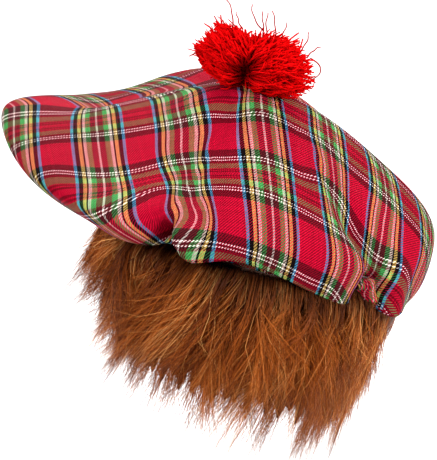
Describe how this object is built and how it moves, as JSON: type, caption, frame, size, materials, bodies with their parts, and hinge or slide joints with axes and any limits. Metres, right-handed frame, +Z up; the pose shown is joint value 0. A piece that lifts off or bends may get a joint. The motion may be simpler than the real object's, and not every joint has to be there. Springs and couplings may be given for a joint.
{
  "type": "tam o'shanter with hair fringe",
  "caption": "Soft plaid cap with a wide floppy crown gathered into a headband, a yarn pompom on top and a long hair fringe round the back and sides.",
  "frame": {"origin": "centre of the head opening, in the plane of the headband's lower edge", "axes": "+Z up as worn, +Y the way the wearer faces, +X to the wearer's right; the headband is tilted 15 degrees about Y, lower at +X, as it is worn"},
  "size_m": [0.275, 0.2396, 0.2785],
  "materials": {
    "tartan_cloth": "matte twill",
    "band_cloth": "matte plain weave",
    "long_pile": "soft sheen",
    "yarn": "matte"
  },
  "bodies": {
    "root": {"crown": "tartan_cloth", "headband": "band_cloth", "hair": "long_pile", "pompom": "yarn"}
  },
  "joints": []
}
